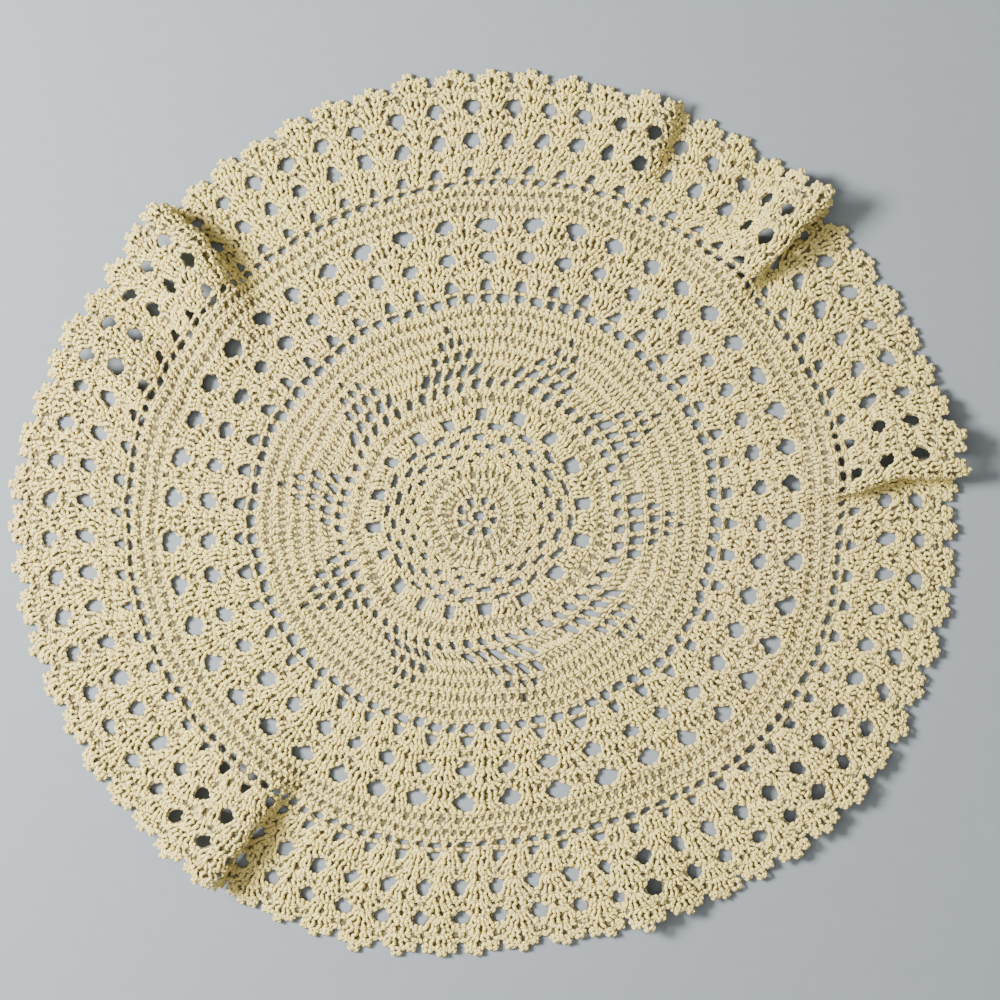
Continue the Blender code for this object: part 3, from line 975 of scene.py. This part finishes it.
def makeCotton(name, tones, knobbly=False):
    material = bpy.data.materials.new(name)
    material.use_nodes = True
    tree = material.node_tree
    nodes = tree.nodes
    shader = nodes["Principled BSDF"]
    shader.inputs["Sheen Weight"].default_value = cotton["sheen"]
    shader.inputs["Sheen Roughness"].default_value = cotton["sheenRoughness"]
    shader.inputs["Specular IOR Level"].default_value = cotton["specular"]
    place = nodes.new("ShaderNodeTexCoord")

    def noise(scale, detail):
        node = nodes.new("ShaderNodeTexNoise")
        node.inputs["Scale"].default_value = scale
        node.inputs["Detail"].default_value = detail
        link(tree, place, "Object", node, "Vector")
        return node

    def ramp(source, output, low, high, toLow, toHigh):
        node = nodes.new("ShaderNodeMapRange")
        node.inputs["From Min"].default_value = low
        node.inputs["From Max"].default_value = high
        node.inputs["To Min"].default_value = toLow
        node.inputs["To Max"].default_value = toHigh
        link(tree, source, output, node, "Value")
        return node

    def speckle(name):
        scale, detail, *levels = cotton[name]
        return ramp(noise(scale, detail), "Fac", *levels)

    def mix(factor, low, high, blend="MIX"):
        node = nodes.new("ShaderNodeMix")
        node.data_type = "RGBA"
        node.blend_type = blend
        link(tree, factor, "Result", node, "Factor")
        for socket, colour in ((6, low), (7, high)):
            if isinstance(colour, tuple):
                node.inputs[socket].default_value = colour
            else:
                tree.links.new(colour.outputs[2], node.inputs[socket])
        return node

    # painted shade: strands low over the underside are painted darker and olive, those standing proud pale
    rise = nodes.new("ShaderNodeAttribute")
    rise.attribute_name = "rise"
    colour = mix(ramp(rise, "Fac", *cotton["rise"], 0.0, 1.0), tones["sunkShade"], tones["proud"])
    colour = mix(speckle("warmth"), colour, tones["warm"])
    colour = mix(speckle("mottle"), colour, cotton["mottleShade"], "MULTIPLY")
    colour = mix(speckle("fibres"), colour, cotton["fibreShade"], "MULTIPLY")

    strand = nodes.new("ShaderNodeUVMap")
    strand.uv_map = "strand"
    turned = nodes.new("ShaderNodeMapping")
    turned.inputs["Scale"].default_value = (1 / cotton["plyPitch"], 1.0, 1.0)
    link(tree, strand, "UV", turned, "Vector")
    ply = nodes.new("ShaderNodeTexWave")
    ply.wave_type = "BANDS"
    ply.bands_direction = "DIAGONAL"
    ply.inputs["Scale"].default_value = cotton["plies"] * 2 * pi / 10  # whole plies once round the yarn
    ply.inputs["Distortion"].default_value = cotton["plyWander"]
    link(tree, turned, "Vector", ply, "Vector")
    # painted shade in each groove between the plies
    grooveShadeMask = ramp(ply, "Fac", 0.0, cotton["grooveShadeUpTo"], 1.0, 0.0)
    colour = mix(grooveShadeMask, colour, cotton["grooveShade"], "MULTIPLY")
    if knobbly:
        knobs = nodes.new("ShaderNodeTexVoronoi")
        knobs.feature = "SMOOTH_F1"
        knobs.inputs["Scale"].default_value = 1 / (cotton["knobSize"] * mm)
        link(tree, place, "Object", knobs, "Vector")
        # painted shade in each crease between the knobs
        creaseShadeMask = ramp(knobs, "Distance", *cotton["creaseShadeFrom"], 0.0, 1.0)
        colour = mix(creaseShadeMask, colour, cotton["creaseShade"], "MULTIPLY")
    tree.links.new(colour.outputs[2], shader.inputs["Base Color"])

    link(tree, speckle("rough"), "Result", shader, "Roughness")

    plies = nodes.new("ShaderNodeBump")
    plies.inputs["Distance"].default_value = cotton["plyDepth"]
    link(tree, ply, "Fac", plies, "Height")
    fuzz = nodes.new("ShaderNodeBump")
    fuzz.inputs["Distance"].default_value = cotton["fuzzDepth"]
    link(tree, noise(*cotton["fuzz"]), "Fac", fuzz, "Height")
    link(tree, plies, "Normal", fuzz, "Normal")
    link(tree, fuzz, "Normal", shader, "Normal")
    if knobbly:
        bulges = nodes.new("ShaderNodeBump")
        bulges.inputs["Distance"].default_value = cotton["knobDepth"]
        link(tree, ramp(knobs, "Distance", 0.0, cotton["knobEdge"], 1.0, 0.0), "Result", bulges, "Height")
        link(tree, bulges, "Normal", plies, "Normal")
    return material


def addPiece(name, mesh, material):
    mesh.materials.append(material)
    piece = bpy.data.objects.new(name, mesh)
    bpy.context.scene.collection.objects.link(piece)
    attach(piece, "root")
    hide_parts("doily")
    return piece


def makePieces():
    material = makeCotton("cream cotton", cotton["tones"])
    # the ground's top: painted shade, dark olive all over
    shade = makeCotton("cotton in the shade of its stitches", cotton["shade"], knobbly=True)
    behind = makeCotton("cream cotton from behind", cotton["tones"] | cotton["behind"], knobbly=True)
    labelled = [(batch, pieceOf(batch[0])) for batch in strands]
    for values in pieces["rows"]:
        row = dict(zip(pieces["columns"], values))
        names = [row["name"]]
        if row["quarters"] > 1:
            names = [row["name"] + "_" + part for part in pieces["quarterNames"]]
        for name in names:
            batches = []
            for (flat, height, thick), owners in labelled:
                mine = owners == name
                if mine.any():
                    batches.append((flat[mine], height[mine], thick))
            mesh = tubeMesh(name, batches)
            addPiece(name, mesh, material)
            print(name, 2 * len(mesh.polygons), "triangles")

    mesh = groundMesh()
    sheet = addPiece(ground["name"], mesh, shade)
    mesh.materials.append(behind)
    thick = sheet.modifiers.new("thickness", "SOLIDIFY")
    thick.thickness = ground["thick"] * mm
    thick.offset = 1.0
    thick.material_offset = 1
    thick.material_offset_rim = 1
    print("ground", 2 * len(mesh.polygons), "triangles and its edges")


# Floor, light and camera
studio = {
    "floorSize": 6.0,
    "floorDrop": 0.0004,
    "floorColours": ((0.185, 0.207, 0.220, 1.0), (0.172, 0.1925, 0.2046, 1.0)),
    "floorGrain": 900,
    "floorRoughness": 0.85,
    "keyPlace": (-0.66, 0.12, 0.62),
    "keySize": 0.26,
    "keyPower": 36.0,
    "fillPlace": (-0.55, -0.25, 1.6),
    "fillSize": 1.6,
    "fillPower": 20.0,
    "skyColour": (1.0, 0.98, 0.95, 1.0),
    "skyStrength": 0.35,
    "aim": (5.11, 1.65, 0.0),
    "distance": 700.0,
    "elevation": 85.5,
    "lens": 70.56,
    "nearest": 0.01,
}


def makeFloor():
    size = studio["floorSize"] / 2
    mesh = bpy.data.meshes.new("floor")
    corners = [(-size, -size), (size, -size), (size, size), (-size, size)]
    mesh.from_pydata([(x, y, -studio["floorDrop"]) for x, y in corners], [], [(0, 1, 2, 3)])
    material = bpy.data.materials.new("pale floor")
    material.use_nodes = True
    nodes = material.node_tree.nodes
    shader = nodes["Principled BSDF"]
    shader.inputs["Roughness"].default_value = studio["floorRoughness"]
    grain = nodes.new("ShaderNodeTexNoise")
    grain.inputs["Scale"].default_value = studio["floorGrain"]
    tone = nodes.new("ShaderNodeMix")
    tone.data_type = "RGBA"
    for socket, colour in zip((6, 7), studio["floorColours"]):
        tone.inputs[socket].default_value = colour
    link(material.node_tree, grain, "Fac", tone, "Factor")
    material.node_tree.links.new(tone.outputs[2], shader.inputs["Base Color"])
    mesh.materials.append(material)
    floor = bpy.data.objects.new("floor", mesh)
    bpy.context.scene.collection.objects.link(floor)


def makeLight(name, place, size, power):
    light = bpy.data.lights.new(name, "AREA")
    light.size = size
    light.energy = power
    lamp = bpy.data.objects.new(name, light)
    lamp.location = place
    lamp.rotation_euler = (-Vector(place)).to_track_quat("-Z", "Y").to_euler()
    bpy.context.scene.collection.objects.link(lamp)


def makeStudio():
    makeFloor()
    makeLight("key", studio["keyPlace"], studio["keySize"], studio["keyPower"])
    makeLight("fill", studio["fillPlace"], studio["fillSize"], studio["fillPower"])
    world = bpy.data.worlds.new("studio")
    world.use_nodes = True
    world.node_tree.nodes["Background"].inputs["Color"].default_value = studio["skyColour"]
    world.node_tree.nodes["Background"].inputs["Strength"].default_value = studio["skyStrength"]
    bpy.context.scene.world = world

    lens = bpy.data.cameras.new("camera")
    lens.lens = studio["lens"]
    lens.clip_start = studio["nearest"]
    camera = bpy.data.objects.new("camera", lens)
    rise = radians(studio["elevation"])
    back = Vector((0, -cos(rise), sin(rise)))
    camera.location = (Vector(studio["aim"]) + back * studio["distance"]) * mm
    camera.rotation_euler = (-back).to_track_quat("-Z", "Y").to_euler()
    bpy.context.scene.collection.objects.link(camera)
    bpy.context.scene.camera = camera
    print("studio ready")


crochetMiddle()
crochetStar()
crochetShells()
crochetBorder()
makePieces()
makeStudio()
